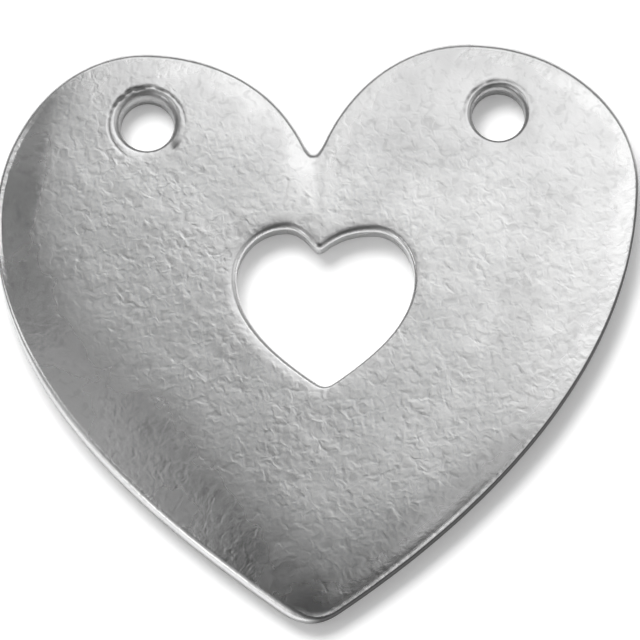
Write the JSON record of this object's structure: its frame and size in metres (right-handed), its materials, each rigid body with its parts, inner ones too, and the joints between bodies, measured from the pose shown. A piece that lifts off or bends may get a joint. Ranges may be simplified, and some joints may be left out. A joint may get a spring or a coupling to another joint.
{
  "type": "heart charm",
  "caption": "Flat heart-shaped plate of cast satin metal with a heart-shaped cut-out in its middle and a round hanging hole in each lobe.",
  "frame": {"origin": "on the flat back, in the middle of the plate's width and height", "axes": "+Z out of the crowned front face, through the thickness; +Y from the tip towards the lobes; +X to the right as seen from the front"},
  "size_m": [0.0254, 0.023, 0.0014],
  "materials": {
    "satin_pewter": "satin pewter with a fine cast grain, tumbled smooth at its edges, not brushed"
  },
  "bodies": {
    "root": {"heart_plate": "satin_pewter"}
  },
  "joints": []
}
